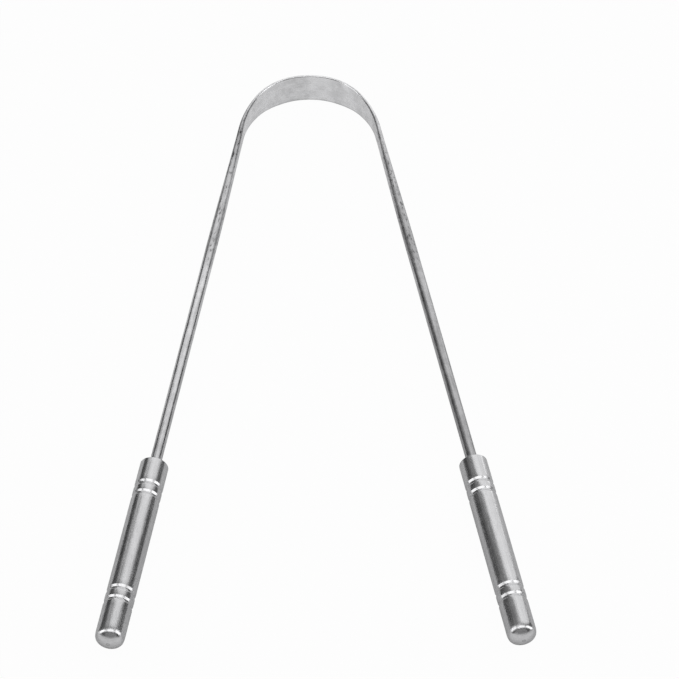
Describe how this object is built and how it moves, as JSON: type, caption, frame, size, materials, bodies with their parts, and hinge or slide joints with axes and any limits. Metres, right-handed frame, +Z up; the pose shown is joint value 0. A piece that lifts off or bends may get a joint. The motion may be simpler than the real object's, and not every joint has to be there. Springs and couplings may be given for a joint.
{
  "type": "tongue scraper",
  "caption": "U-shaped steel tongue scraper: a round wire pressed into a thin blade round its bow, with a grooved bar handle, domed at its free end, on each arm.",
  "frame": {"origin": "middle of the footprint, at the height of the lower edge of the blade", "axes": "+Y along the scraper from the handles to the nose of the bow, +Z up out of the plane of the arms, +X towards the right handle"},
  "size_m": [0.0804, 0.1526, 0.007],
  "materials": {
    "bow_steel": "satin stainless steel wire, rolled smooth and lightly rubbed along its length",
    "handle_steel": "turned and polished stainless steel bar with fine marks along and round it"
  },
  "bodies": {
    "root": {"scraper_bow": "bow_steel", "left_handle": "handle_steel", "right_handle": "handle_steel"}
  },
  "joints": []
}
